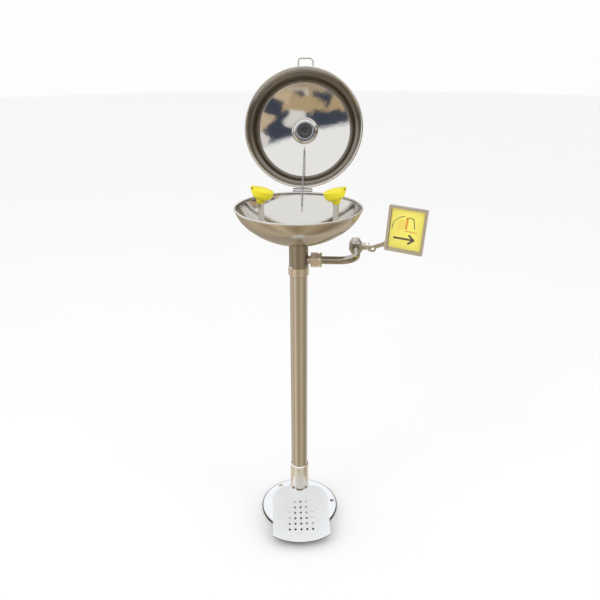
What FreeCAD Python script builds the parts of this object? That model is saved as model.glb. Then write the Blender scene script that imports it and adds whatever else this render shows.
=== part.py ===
import FreeCAD, Part
import math
import os

# Pedestal eye and face wash station.
# Millimetres. Origin on the floor, on the post's axis. +Z up, -Y towards the user, +X towards the push plate.

V = FreeCAD.Vector
X, Y, Z = V(1, 0, 0), V(0, 1, 0), V(0, 0, 1)

# ---------------------------------------------------------------- driving dimensions
rim_height = 863.0          # top of the bowl's rim above the floor
bowl_d = 295.0              # over the rolled rim
bowl_depth = 88.0
post_d = 42.4               # 1 1/4 inch pipe
post_wall = 1.5
base_d = 210.0
base_thick = 6.0
base_edge_r = 2.8
sheet = 1.4                 # stainless sheet of the bowl and the lid

# clearances
fit_gap = 0.15              # between pieces that are screwed or welded together
run_gap = 0.06              # radial, a pin turning in its hole
body_gap = 0.35             # between pieces that move past each other

# base, bolts
bolt_pcd = 185.0
bolt_hole_d = 12.0
bolt_count = 3
bolt_first_angle = 10.0
drain_hole_d = 36.0

# post fittings
fitting_wall = 2.8          # of the sleeve over the post's foot
fitting_bottom = 64.0
fitting_top = 147.0
collar_wall = 3.3
collar_height = 24.0
tee_wall = 1.6
tee_height = 55.0
fitting_chamfer = 2.5

# water way
riser_d = 16.0
riser_wall = 1.5
manifold_d = 22.0
port_drop = 41.0            # side port below the tee's top
port_d = 20.0
port_reach = 38.0           # end of the side port from the post's axis
nut_flats = 32.0
nut_start = 29.0
nut_length = 26.0
pipe_d = 19.0
pipe_wall = 1.5
pipe_collar_d = 24.0
pipe_collar_length = 4.0
pipe_bend_r = 42.0
pipe_straight_end = 95.0    # where the bend starts, from the post's axis
gasket_thick = 1.0

# push valve
valve_front = 84.0          # front face of the valve, behind the post's axis
valve_hex_flats = 30.0
valve_hex_length = 13.0
valve_body_d = 33.0
valve_body_length = 26.0
valve_cap_length = 16.5
valve_socket_depth = 11.0
inlet_bore_d = 18.6         # half inch female thread, minor diameter
inlet_depth = 15.0
ball_d = 23.0
ball_bore_d = 11.0
seat_thick = 2.5
stem_d = 9.0
stem_boss_d = 18.0
stem_boss_length = 8.5
stem_nut_flats = 17.0
stem_nut_thick = 6.0
lever_thick = 3.0
lever_width = 14.0
lever_nut_flats = 13.0
lever_nut_thick = 5.0
lever_reach = 20.0          # stem to the outboard bar

# push plate
plate_w = 94.0
plate_h = 114.0
plate_depth = 9.0
plate_sheet = 1.5
plate_border = 6.0
plate_yaw = 18.0
plate_roll = 4.0
plate_corner = V(205, 76, 737)
label_thick = 0.4
label_gap = 1.5
rivet_d = 4.0

# bowl and lid
bead_d = 5.0
bowl_side_r = 90.0
bowl_side_angle = 20.0
lid_open_angle = 105.0
lid_seat_gap = 0.6
lid_wall_height = 24.0
lid_wall_taper = 9.0
lid_step = 6.0
lid_neck_height = 22.0
lid_neck_taper = 10.0
lid_ledge = 5.0
lid_dome_rise = 20.0
lid_boss_d = 60.0
lid_boss_height = 4.0
plug_d = 38.0
handle_w = 40.0
handle_reach = 20.5
handle_x = 2.0              # its middle, off the lid's centre line
handle_wire_d = 4.0
handle_corner_r = 8.0
hinge_leaf_w = 48.0
hinge_pin_d = 4.0
hinge_barrel_d = 8.0
hinge_stand_off = 7.0       # hinge axis behind the rim
hinge_leaf_thick = 1.5
knuckle_count = 5

# drain
drain_lip = 7.0             # flange beyond the drain hole
drain_flange_thick = 2.5
drain_gasket_thick = 1.0
drain_wall = 2.5
drain_tail = 24.0
drain_hole_count = 8

# nozzles
nozzle_x = 86.0
nozzle_d = 48.0
nozzle_base = 14.0          # bottom of the nozzle above the rim
nozzle_top = 32.0
nozzle_tilt = 15.0          # each head leans in over the bowl, about its swivel
swivel_d = 21.0
nozzle_wall = 2.0
nozzle_cup = 7.0            # depth of the mouth
cap_thick = 6.0
cap_crown = 4.0
cap_pin_stand = 1.5         # cap's hinge outside the nozzle
cap_pin_d = 3.0
cap_lug_w = 5.0
cap_side_w = 3.0
cap_lug_d = 8.0
yoke_d = 14.0
yoke_wall = 1.5
yoke_bend_r = 32.0

# chain
chain_d = 3.6
chain_eye_wire = 2.0
chain_eye_d = 9.0
chain_eye_stand = 1.5       # eye's ring clear of the sheet
chain_lid_offset = 44.0     # eye on the lid, from its centre towards the hinge
chain_bowl_drop = 36.0      # eye in the bowl, below the rim

# foot pedal
pedal_turn = 6.0            # heading of the pedal about the post
pedal_w = 150.0
pedal_slope = 21.7
pedal_front = 158.0         # front edge from the post's axis
pedal_thick = 2.0
pedal_skirt = 15.0
pedal_corner_r = 40.0
pedal_notch_r = 28.0
pedal_pin_y = -16.0
pedal_pin_z = 67.0
pedal_pin_d = 6.0
pedal_lift = 9.0            # top of the plate above the pin, square to the plate
pedal_ear_inner = 25.5
pedal_ear_thick = 3.0
pedal_ear_d = 12.0
pedal_hole_d = 6.0
pedal_hole_pitch = 15.3
pedal_hole_columns = 5
pedal_hole_rows = 6
pedal_short_rows = 2        # rows nearest the post that lack one hole
pedal_hole_start = 42.0     # first row, from the pin along the plate

# foot valve
foot_y = -56.0
foot_size = 34.0
foot_height = 30.0
foot_port_z = 19.5
foot_port_d = 14.0
foot_boss_d = 25.0
foot_floor = 4.0            # metal under the plunger's bore
foot_lug_reach = 12.0
foot_lug_thick = 5.0
foot_screw_x = 10.0
plunger_d = 10.0
plunger_travel = 5.0
plunger_head_d = 16.0
plunger_head_thick = 4.0
spring_d = 13.0
spring_wire = 1.4
spring_turns = 5
screw_d = 5.0
screw_head_d = 9.0

# ---------------------------------------------------------------- worked-out places
rim_r = bowl_d / 2
fitting_d = post_d + 2 * fitting_wall
collar_d = post_d + 2 * collar_wall
tee_d = post_d + 2 * tee_wall
cap_pin_reach = nozzle_d / 2 + cap_pin_stand
bowl_bottom = rim_height - bowl_depth
tee_top = bowl_bottom
tee_bottom = tee_top - tee_height
collar_bottom = tee_bottom - collar_height
post_top = tee_bottom - collar_height / 2
post_bore = post_d / 2 - post_wall
port_z = tee_top - port_drop
valve_x = pipe_straight_end + pipe_bend_r
valve_mid = valve_front + valve_hex_length + valve_body_length / 2
valve_rear = valve_front + valve_hex_length + valve_body_length + valve_cap_length
hinge_y = rim_r + hinge_stand_off
hinge_z = rim_height + lid_seat_gap / 2
lid_plane = rim_height + lid_seat_gap
pin_x = nozzle_x + cap_pin_reach
pin_z = rim_height + nozzle_top + body_gap + cap_lug_d / 2


# ---------------------------------------------------------------- helpers
def cyl(d, length, at, along=Z):
    return Part.makeCylinder(d / 2, length, at, along)


def tube(d, bore, length, at, along=Z):
    return cyl(d, length, at, along).cut(cyl(bore, length, at, along))


def block(x0, x1, y0, y1, z0, z1):
    return Part.makeBox(x1 - x0, y1 - y0, z1 - z0, V(x0, y0, z0))


def hexagon(flats, length, at, along=Z):
    """A hexagonal prism, measured across its flats."""
    r = flats / math.sqrt(3)
    turn = FreeCAD.Rotation(Z, along)
    points = []
    for k in range(6):
        a = math.radians(60 * k)
        points.append(at + turn.multVec(V(r * math.cos(a), r * math.sin(a), 0)))
    face = Part.Face(Part.makePolygon(points + [points[0]]))
    return face.extrude(along * length)


def nut(flats, length, at, along=Z):
    """A hexagon with its corners turned down at both ends."""
    r = flats / math.sqrt(3)
    cone_h = length + r
    lower = Part.makeCone(r - 1.2, r - 1.2 + cone_h * 1.7, cone_h, at, along)
    upper = Part.makeCone(r - 1.2, r - 1.2 + cone_h * 1.7, cone_h, at + along * length, along * -1)
    return hexagon(flats, length, at, along).common(lower).common(upper)


def line(a, b):
    return Part.LineSegment(a, b).toShape()


def arc(a, m, b):
    return Part.Arc(a, m, b).toShape()


def revolve(edges):
    """Turns a closed outline in the XZ plane about Z."""
    return Part.Face(Part.Wire(edges)).revolve(V(0, 0, 0), Z, 360)


def sweep(edges, d, bore=0):
    """A round bar or tube along a path of lines and tangent arcs."""
    path = Part.Wire(edges)
    start = edges[0].valueAt(edges[0].FirstParameter)
    heading = edges[0].tangentAt(edges[0].FirstParameter)

    def run(size):
        ring = Part.Wire([Part.makeCircle(size / 2, start, heading)])
        return path.makePipeShell([ring], True, True)

    solid = run(d)
    if bore:
        solid = solid.cut(run(bore))
    return solid


def bent_path(points, radii):
    """Straight runs through the points, joined by arcs of the given radii."""
    edges = []
    last = points[0]
    for k in range(1, len(points) - 1):
        before = (points[k - 1] - points[k]).normalize()
        after = (points[k + 1] - points[k]).normalize()
        half = before.getAngle(after) / 2
        reach = radii[k - 1] / math.tan(half)
        a = points[k] + before * reach
        b = points[k] + after * reach
        centre = points[k] + (before + after).normalize() * (radii[k - 1] / math.sin(half))
        middle = centre + (points[k] - centre).normalize() * radii[k - 1]
        if (a - last).Length > 1e-6:
            edges.append(line(last, a))
        edges.append(arc(a, middle, b))
        last = b
    edges.append(line(last, points[-1]))
    return edges


def strap(a, b, width, thick, normal):
    """A flat bar from a to b, its thickness along normal."""
    along = (b - a).normalize()
    side = normal.cross(along).normalize()
    flat = along.cross(side).normalize()
    corner = a - side * (width / 2) - flat * (thick / 2)
    points = [corner, corner + side * width, corner + side * width + flat * thick, corner + flat * thick]
    face = Part.Face(Part.makePolygon(points + [points[0]]))
    return face.extrude(b - a)


def join(shapes):
    first = shapes[0]
    return first.fuse(shapes[1:]).removeSplitter() if len(shapes) > 1 else first


def cut_all(shape, tools):
    return shape.cut(Part.makeCompound(tools))


def turned(shape, angle, at=V(0, 0, 0), axis=Z):
    out = shape.copy()
    out.rotate(at, axis, angle)
    return out


def opened(shape):
    """Moves a piece of the lid from closed to its open rest position."""
    return turned(shape, -lid_open_angle, V(0, hinge_y, hinge_z), X)


def mirrored(shape):
    return shape.mirror(V(0, 0, 0), X)


# ---------------------------------------------------------------- base, post and fittings
def base_flange():
    disc = cyl(base_d, base_thick, V(0, 0, 0))
    top_edges = [e for e in disc.Edges if e.BoundBox.ZMin > 1]
    disc = disc.makeFillet(base_edge_r, top_edges)
    holes = [cyl(drain_hole_d, base_thick, V(0, 0, 0))]
    for k in range(bolt_count):
        a = math.radians(bolt_first_angle + k * 360.0 / bolt_count)
        at = V(math.cos(a), math.sin(a), 0) * (bolt_pcd / 2)
        holes.append(cyl(bolt_hole_d, base_thick, at))
    return cut_all(disc, holes)


def post():
    pipe = tube(post_d, 2 * post_bore, post_top - base_thick, V(0, 0, base_thick))
    side_hole = cyl(foot_port_d + 2 * fit_gap, post_d, V(0, -post_d, foot_port_z), Y)
    return pipe.cut(turned(side_hole, pedal_turn))


def lower_fitting():
    length = fitting_top - fitting_bottom
    sleeve = cyl(fitting_d, length, V(0, 0, fitting_bottom))
    rims = [e for e in sleeve.Edges if abs(e.BoundBox.ZMax - e.BoundBox.ZMin) < 0.1]
    sleeve = sleeve.makeChamfer(fitting_chamfer, rims)
    return sleeve.cut(cyl(post_d + 2 * fit_gap, length, V(0, 0, fitting_bottom)))


def upper_collar():
    sleeve = cyl(collar_d, collar_height, V(0, 0, collar_bottom))
    rims = [e for e in sleeve.Edges if abs(e.BoundBox.ZMax - e.BoundBox.ZMin) < 0.1]
    sleeve = sleeve.makeChamfer(fitting_chamfer, rims)
    return sleeve.cut(cyl(post_d + 2 * fit_gap, collar_height, V(0, 0, collar_bottom)))


def bowl_filled(inset):
    """The bowl as a full solid, its face moved in from the outside of the sheet."""
    side_arc, bottom_arc, rim, foot = bowl_skin(inset)
    top = V(0, 0, rim.z)
    return revolve([side_arc, bottom_arc, line(foot, top), line(top, rim)])


def upper_tee():
    """Sleeve under the bowl, its top end shaped to the bowl."""
    spigot = cyl(post_d, collar_height / 2, V(0, 0, tee_bottom - collar_height / 2 + fit_gap))
    shell = join([cyl(tee_d, tee_height + 5, V(0, 0, tee_bottom)), spigot]).cut(bowl_filled(-fit_gap))
    bore = cyl(2 * post_bore, tee_height + 2 * collar_height, V(0, 0, tee_bottom - collar_height))
    side = cyl(port_d + 2 * fit_gap, tee_d, V(0, 0, port_z), X)
    return shell.cut(bore).cut(side)


def manifold():
    low = tee_bottom - collar_height
    upright = cyl(manifold_d, tee_top - 8 - low, V(0, 0, low))
    branch = cyl(port_d, port_reach, V(0, 0, port_z), X)
    riser_socket = cyl(riser_d + 2 * fit_gap, port_z - 16 - low, V(0, 0, low))
    yoke_socket = cyl(yoke_d + 2 * fit_gap, tee_top, V(0, 0, port_z + 14))
    way = cyl(riser_d - 2 * riser_wall - 1, port_drop + 60, V(0, 0, low))
    side_way = cyl(pipe_d - 2 * pipe_wall - 3, port_reach, V(0, 0, port_z), X)
    return cut_all(join([upright, branch]), [riser_socket, yoke_socket, way, side_way])


def riser_tube():
    top = port_z - 16 - fit_gap
    low = base_thick + 4
    pipe = cyl(riser_d, top - low, V(0, 0, low))
    bore = cyl(riser_d - 2 * riser_wall, top - low - riser_wall, V(0, 0, low + riser_wall))
    port = cyl(foot_port_d - 2 * riser_wall, riser_d, V(0, -riser_d, foot_port_z), Y)
    return pipe.cut(bore).cut(turned(port, pedal_turn))


# ---------------------------------------------------------------- side pipe and push valve
def union_nut():
    collar_at = port_reach + gasket_thick
    bore = cyl(pipe_d + 2 * fit_gap, nut_length, V(nut_start, 0, port_z), X)
    port_bore = cyl(port_d + 2 * fit_gap, port_reach - nut_start, V(nut_start, 0, port_z), X)
    seat_length = pipe_collar_length + gasket_thick + fit_gap
    seat = cyl(pipe_collar_d + 2 * fit_gap, seat_length, V(port_reach, 0, port_z), X)
    groove = tube(2 * nut_flats, nut_flats + 0.6, 3.0, V(collar_at + 8, 0, port_z), X)
    return cut_all(nut(nut_flats, nut_length, V(nut_start, 0, port_z), X), [bore, port_bore, seat, groove])


def union_gasket():
    return tube(pipe_collar_d, pipe_d - 2 * pipe_wall, gasket_thick, V(port_reach, 0, port_z), X)


def side_pipe():
    start = port_reach + gasket_thick
    end = valve_front + valve_socket_depth - fit_gap
    points = [V(start, 0, port_z), V(valve_x, 0, port_z), V(valve_x, end, port_z)]
    bore = pipe_d - 2 * pipe_wall
    pipe = sweep(bent_path(points, [pipe_bend_r]), pipe_d, bore)
    return join([pipe, tube(pipe_collar_d, bore, pipe_collar_length, points[0], X)])


def valve_body():
    at = V(valve_x, valve_front, port_z)
    middle = V(valve_x, valve_front + valve_hex_length, port_z)
    ball_at = V(valve_x, valve_mid, port_z)
    boss_length = valve_body_d / 2 + stem_boss_length
    shell = join([hexagon(valve_hex_flats, valve_hex_length, at, Y),
                  cyl(valve_body_d, valve_body_length, middle, Y),
                  cyl(stem_boss_d, boss_length, ball_at, X)])
    chamber_length = ball_d / 2 + seat_thick
    socket = cyl(pipe_d + 2 * fit_gap, valve_socket_depth, at, Y)
    way = cyl(ball_bore_d, valve_body_length, at, Y)
    chamber = cyl(ball_d + 2 * body_gap, chamber_length + valve_body_length, ball_at - Y * chamber_length, Y)
    stem_way = cyl(stem_d + 2 * run_gap, boss_length, ball_at, X)
    return cut_all(shell, [socket, way, chamber, stem_way])


def valve_end_cap():
    start = V(valve_x, valve_front + valve_hex_length + valve_body_length, port_z)
    plug_length = valve_body_length / 2 - ball_d / 2 - seat_thick + 1.0
    shell = hexagon(valve_hex_flats - 2, valve_cap_length, start + Y * fit_gap, Y)
    inlet = cyl(inlet_bore_d, inlet_depth, V(valve_x, valve_rear + fit_gap - inlet_depth, port_z), Y)
    way = cyl(ball_bore_d, valve_cap_length + plug_length, start - Y * plug_length, Y)
    return cut_all(shell, [inlet, way])


def ball_seats():
    ball_at = V(valve_x, valve_mid, port_z)
    ball = Part.makeSphere(ball_d / 2 + run_gap, ball_at)
    near = tube(ball_d, ball_bore_d, seat_thick + 2, ball_at - Y * (ball_d / 2 + seat_thick), Y)
    cap_face = valve_front + valve_hex_length + valve_body_length
    far_length = cap_face - valve_mid - ball_d / 2 + 2
    far = tube(ball_d, ball_bore_d, far_length, V(valve_x, cap_face - far_length, port_z), Y)
    return Part.makeCompound([near.cut(ball), far.cut(ball)])


def valve_ball():
    at = V(valve_x, valve_mid, port_z)
    bore = cyl(ball_bore_d, ball_d, at - Z * (ball_d / 2), Z)
    slot = block(at.x + ball_d / 2 - 4, at.x + ball_d, at.y - 2, at.y + 2, at.z - ball_d, at.z + ball_d)
    return Part.makeSphere(ball_d / 2, at).cut(bore).cut(slot)


def stem_layout():
    """Places along the stem: end of the boss, of the packing nut, of the lever and of its nut."""
    boss = valve_x + valve_body_d / 2 + stem_boss_length
    packing = boss + stem_nut_thick
    lever_face = packing + body_gap
    return boss, packing, lever_face, lever_face + lever_thick


def valve_stem():
    lever_end = stem_layout()[3]
    start = valve_x + ball_d / 2 + 0.5
    at = V(start, valve_mid, port_z)
    tongue = block(start - 4, start + 1, valve_mid - 1.9, valve_mid + 1.9, port_z - 4, port_z + 4)
    rod = cyl(stem_d, lever_end + lever_nut_thick + 1.5 - start, at, X)
    return join([rod, tongue])


def stem_nut():
    boss = stem_layout()[0]
    at = V(boss, valve_mid, port_z)
    return nut(stem_nut_flats, stem_nut_thick, at, X).cut(cyl(stem_d + 2 * run_gap, stem_nut_thick, at, X))


def lever_nut():
    at = V(stem_layout()[3], valve_mid, port_z)
    return nut(lever_nut_flats, lever_nut_thick, at, X).cut(cyl(stem_d, lever_nut_thick, at, X))


def plate_placed(shape):
    """Puts a piece drawn in the push plate's own frame on the end of the lever."""
    out = turned(shape, plate_roll, V(0, 0, 0), Y)
    out = turned(out, -plate_yaw, V(0, 0, 0), Z)
    out.translate(plate_corner)
    return out


def plate_point(x, y, z):
    return plate_placed(Part.Vertex(V(x, y, z))).Point


def lever():
    lever_face, lever_end = stem_layout()[2:]
    hub_at = V(lever_face, valve_mid, port_z)
    hub = cyl(lever_width + 6, lever_thick, hub_at, X)
    bar_y = valve_mid - lever_reach
    arm = block(lever_face, lever_end, bar_y, valve_mid, port_z - lever_width / 2, port_z + lever_width / 2)
    tab_low = lever_width / 2 + 4
    tab_y = plate_depth + lever_thick / 2
    tab_out = plate_point(30, tab_y, tab_low)
    tab_in = plate_point(-4, tab_y, tab_low)
    normal = plate_point(0, 1, 0) - plate_point(0, 0, 0)
    tab = strap(tab_in, tab_out, lever_width, lever_thick, normal)
    bar_start = V(lever_face, bar_y + lever_thick / 2, port_z)
    loop_at = V(lever_end + 7, bar_y + lever_thick / 2, port_z)
    loop = cyl(lever_width + 3, lever_thick, loop_at - Y * (lever_thick / 2), Y)
    bar = strap(bar_start, tab_in, lever_width - 4, lever_thick, Y)
    elbow = cyl(lever_thick, lever_width, tab_in - Z * (lever_width / 2), Z)
    loop_hole = cyl(8, 3 * lever_thick, loop_at - Y * (1.5 * lever_thick), Y)
    solid = join([hub, arm, bar, loop, tab, elbow]).cut(loop_hole)
    return solid.cut(cyl(stem_d, 3 * lever_thick, hub_at - X * lever_thick, X))


def push_plate():
    tray = block(0, plate_w, 0, plate_depth, 0, plate_h)
    upright = [e for e in tray.Edges if abs(e.BoundBox.YLength - plate_depth) < 0.1]
    tray = tray.makeFillet(3.0, upright)
    recess = block(plate_border, plate_w - plate_border, 0, plate_depth - plate_sheet,
                   plate_border, plate_h - plate_border)
    return plate_placed(tray.cut(recess))


def push_label():
    inset = plate_border + label_gap
    floor = plate_depth - plate_sheet
    return plate_placed(block(inset, plate_w - inset, floor - label_thick, floor, inset, plate_h - inset))


def plate_rivets():
    heads = []
    for x in (8.0, 22.0):
        at = V(x, plate_depth + lever_thick, lever_width / 2 + 4)
        heads.append(plate_placed(cyl(2 * rivet_d, 1.5, at, Y)))
    return Part.makeCompound(heads)


# ---------------------------------------------------------------- bowl
def bowl_outline():
    """Outside of the bowl: centre of the side arc, then centre and radius of the bottom arc."""
    r0 = rim_r - 1.0
    z0 = rim_height - bead_d
    a = math.radians(bowl_side_angle)
    side = V(r0 - bowl_side_r * math.cos(a), 0, z0 + bowl_side_r * math.sin(a))
    rise = side.z - bowl_bottom
    bottom_r = (side.x ** 2 + rise ** 2 - bowl_side_r ** 2) / (2 * (rise - bowl_side_r))
    bottom = V(0, 0, bowl_bottom + bottom_r)
    return side, bottom, bottom_r


def bowl_skin(inset):
    """Edges of one face of the bowl's sheet, from the rim to the axis, inset from the outside."""
    side, bottom, bottom_r = bowl_outline()
    rs = bowl_side_r - inset
    rb = bottom_r - inset
    start = -math.radians(bowl_side_angle)
    end = math.atan2(side.z - bottom.z, side.x)

    def on(centre, r, a):
        return V(centre.x + r * math.cos(a), 0, centre.z + r * math.sin(a))

    low = -math.pi / 2
    side_arc = arc(on(side, rs, start), on(side, rs, (start + end) / 2), on(side, rs, end))
    bottom_arc = arc(on(side, rs, end), on(bottom, rb, (end + low) / 2), on(bottom, rb, low))
    return side_arc, bottom_arc, on(side, rs, start), on(bottom, rb, low)


def bowl_dish():
    """Lower part of the bowl's sheet, up to where the side's smaller curve starts."""
    out_bottom, out_foot = bowl_skin(0)[1::2]
    in_bottom, in_foot = bowl_skin(sheet)[1::2]
    seam = line(in_bottom.Vertexes[0].Point, out_bottom.Vertexes[0].Point)
    dish = revolve([out_bottom, line(out_foot, in_foot), in_bottom, seam])
    return dish.cut(cyl(post_d - 2 * post_wall, 30, V(0, 0, bowl_bottom - 5)))


def bowl_wall():
    """Upper part of the same sheet, with its rolled rim."""
    out_side, out_rim = bowl_skin(0)[::2]
    in_side, in_rim = bowl_skin(sheet)[::2]
    seam = line(out_side.Vertexes[1].Point, in_side.Vertexes[1].Point)
    wall = revolve([out_side, seam, in_side, line(in_rim, out_rim)])
    bead = Part.makeTorus(rim_r - bead_d / 2, bead_d / 2, V(0, 0, rim_height - bead_d / 2))
    return join([wall, bead])


def drain_layout():
    """Outer radius of the drain's flange, and the height of its underside above the bowl's sheet."""
    bottom, bottom_r = bowl_outline()[1:]
    flange_r = post_bore + drain_lip
    seat = bottom.z - math.sqrt((bottom_r - sheet) ** 2 - flange_r ** 2)
    return flange_r, seat + drain_gasket_thick


def drain_strainer():
    flange_r, flange_z = drain_layout()
    tail_d = 2 * post_bore - 2 * fit_gap
    way_d = tail_d - 2 * drain_wall
    low = flange_z - drain_tail
    flange = cyl(2 * flange_r, drain_flange_thick, V(0, 0, flange_z))
    solid = join([flange, cyl(tail_d, drain_tail, V(0, 0, low))])
    way = cyl(way_d, drain_tail, V(0, 0, low))
    yoke_way = cyl(yoke_d + 2 * fit_gap, 40, V(0, 0, low))
    solid = cut_all(solid, [way, yoke_way])
    ring_r = (way_d + yoke_d) / 4
    drains = []
    for k in range(drain_hole_count):
        a = 2 * math.pi * (k + 0.5) / drain_hole_count
        drains.append(cyl(5, 10, V(ring_r * math.cos(a), ring_r * math.sin(a), flange_z - 3)))
    return cut_all(solid, drains)


def drain_gasket():
    flange_r, flange_z = drain_layout()
    ring = tube(2 * flange_r, 2 * post_bore, 5, V(0, 0, flange_z - 5))
    return ring.common(bowl_filled(sheet + fit_gap / 2))


def yoke():
    """One riser out of the drain that splits into an arm to each nozzle."""
    hub_z = bowl_bottom + 26
    top = rim_height + nozzle_base - fit_gap
    bore = yoke_d - 2 * yoke_wall
    foot = port_z + 14 + fit_gap
    trunk = cyl(yoke_d, hub_z - foot, V(0, 0, foot))
    points = [V(0, 0, hub_z), V(nozzle_x, 0, hub_z), V(nozzle_x, 0, top)]
    arm = sweep(bent_path(points, [yoke_bend_r]), yoke_d)
    arm_way = sweep(bent_path(points, [yoke_bend_r]), bore)
    ball = Part.makeSphere(yoke_d / 2 + 1.5, V(0, 0, hub_z))
    solid = join([trunk, ball, arm, mirrored(arm)])
    return cut_all(solid, [cyl(bore, hub_z - foot, V(0, 0, foot)), arm_way, mirrored(arm_way)])


# ---------------------------------------------------------------- nozzles
def tilted(shape):
    """Leans a piece of the right nozzle in over the bowl."""
    return turned(shape, -nozzle_tilt, V(nozzle_x, 0, rim_height + nozzle_base), Y)


def right_nozzle():
    """Bell on a ball swivel, with an eye for the cap's pin."""
    z0 = rim_height + nozzle_base
    top = rim_height + nozzle_top
    r = nozzle_d / 2
    neck_r = yoke_d / 2 + 3.0
    flare_r = neck_r + 0.78 * (r - neck_r)
    way_d = yoke_d - 2 * yoke_wall
    outline = [line(V(0, 0, z0), V(neck_r, 0, z0)), line(V(neck_r, 0, z0), V(neck_r, 0, z0 + 2)),
               arc(V(neck_r, 0, z0 + 2), V(flare_r, 0, z0 + 7), V(r, 0, top - 3)),
               line(V(r, 0, top - 3), V(r, 0, top)), line(V(r, 0, top), V(0, 0, top)),
               line(V(0, 0, top), V(0, 0, z0))]
    arm = block(r - 3, cap_pin_reach, -cap_lug_w / 2, cap_lug_w / 2, top - 6, pin_z)
    eye = cyl(cap_lug_d - 1, cap_lug_w, V(cap_pin_reach, -cap_lug_w / 2, pin_z), Y)
    bell = join([revolve(outline), arm, eye])
    cup = cyl(2 * (r - nozzle_wall), nozzle_cup, V(0, 0, top - nozzle_cup))
    throat = cyl(2 * (r - nozzle_wall) - 12, nozzle_cup + 4, V(0, 0, top - nozzle_cup - 4))
    way = cyl(way_d, nozzle_top, V(0, 0, z0))
    spare = cyl(cap_pin_d, cap_lug_w, V(cap_pin_reach, -cap_lug_w / 2, pin_z), Y)
    pivot = V(nozzle_x, 0, z0)
    hollows = []
    for shape in (bell, cup, throat, way, spare):
        shape.translate(V(nozzle_x, 0, 0))
        hollows.append(tilted(shape))
    solid = join([hollows.pop(0), Part.makeSphere(swivel_d / 2, pivot)])
    socket = cyl(yoke_d + 2 * fit_gap, swivel_d, pivot - Z * swivel_d)
    return cut_all(solid, hollows + [socket, cyl(way_d, 4, pivot - Z)])


def right_insert():
    """Perforated spray head in the nozzle's mouth."""
    top = rim_height + nozzle_top - nozzle_cup + 3
    r = nozzle_d / 2 - nozzle_wall - fit_gap
    disc = cyl(2 * r, 3, V(nozzle_x, 0, top - 3))
    holes = []
    for ring, count in ((6.0, 6), (12.0, 12), (17.5, 16)):
        for k in range(count):
            a = 2 * math.pi * k / count
            holes.append(cyl(2.0, 5, V(nozzle_x + ring * math.cos(a), ring * math.sin(a), top - 4)))
    return tilted(cut_all(disc, holes))


def right_cap():
    """Domed dust cap: a plug that drops in the nozzle's mouth, and two lugs on the pin."""
    low = rim_height + nozzle_top + body_gap
    r = nozzle_d / 2 + 0.5
    dome_r = (r ** 2 + cap_crown ** 2) / (2 * cap_crown)
    dome = Part.makeSphere(dome_r, V(0, 0, low + cap_thick + cap_crown - dome_r))
    crown = cyl(2 * r, cap_thick + cap_crown, V(0, 0, low)).common(dome)
    plug = cyl(nozzle_d - 2 * nozzle_wall - 3, 3, V(0, 0, low - 3))
    y0 = cap_lug_w / 2 + body_gap
    lugs = []
    for start in (y0, -y0 - cap_side_w):
        lugs.append(cyl(cap_lug_d, cap_side_w, V(cap_pin_reach, start, pin_z), Y))
        lugs.append(block(r - 10, cap_pin_reach, start, start + cap_side_w, low, pin_z + cap_lug_d / 2 - 1))
    slot = block(r - 6, cap_pin_reach + cap_lug_d, -y0, y0, low - 4, pin_z + cap_lug_d)
    body = join([crown, plug]).cut(slot)
    body = join([body] + lugs).cut(cyl(cap_pin_d + 2 * run_gap, 30, V(cap_pin_reach, -15, pin_z), Y))
    body.translate(V(nozzle_x, 0, 0))
    return tilted(body)


def right_cap_pin():
    length = cap_lug_w + 2 * (body_gap + cap_side_w + 1.0)
    return tilted(cyl(cap_pin_d, length, V(pin_x, -length / 2, pin_z), Y))


# ---------------------------------------------------------------- lid, hinge and chain
def lid_outline(inset):
    """One face of the lid's sheet, drawn closed, from the rim to the axis: corner points and dome radius."""
    r = rim_r - 1.0 - inset
    z = lid_plane + bead_d / 2
    wall_top = lid_plane + lid_wall_height - inset
    neck_top = wall_top + lid_neck_height
    points = [V(r, 0, z), V(r - lid_wall_taper, 0, wall_top), V(r - lid_wall_taper - lid_step, 0, wall_top),
              V(r - lid_wall_taper - lid_step - lid_neck_taper, 0, neck_top),
              V(r - lid_wall_taper - lid_step - lid_neck_taper - lid_ledge, 0, neck_top)]
    return points, V(0, 0, neck_top + lid_dome_rise)


def lid_face(inset):
    points, crown = lid_outline(inset)
    edges = [line(points[k], points[k + 1]) for k in range(len(points) - 1)]
    edge = points[-1]
    radius = (edge.x ** 2 + lid_dome_rise ** 2) / (2 * lid_dome_rise)
    half = math.asin(edge.x / radius) / 2
    middle = V(radius * math.sin(half), 0, crown.z - radius + radius * math.cos(half))
    return edges + [arc(edge, middle, crown)], points[0], crown


def lid_filled(inset):
    """The closed lid as a full solid, its face moved in from the outside of the sheet."""
    edges, rim, crown = lid_face(inset)
    foot = V(0, 0, rim.z)
    return revolve(edges + [line(crown, foot), line(foot, rim)])


def lid_closed():
    outer, outer_rim, outer_top = lid_face(0)
    inner, inner_rim, inner_top = lid_face(sheet)
    shell = revolve(outer + [line(outer_top, inner_top)] + inner[::-1] + [line(inner_rim, outer_rim)])
    bead = Part.makeTorus(rim_r - bead_d / 2, bead_d / 2, V(0, 0, lid_plane + bead_d / 2))
    ring_z = inner_top.z - lid_boss_height
    ring = tube(lid_boss_d, plug_d + 6, lid_boss_height, V(0, 0, ring_z))
    seat = tube(plug_d + 8, plug_d, lid_boss_height, V(0, 0, ring_z))
    return join([shell, bead, ring, seat]).cut(cyl(8, 30, V(0, 0, ring_z)))


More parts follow.
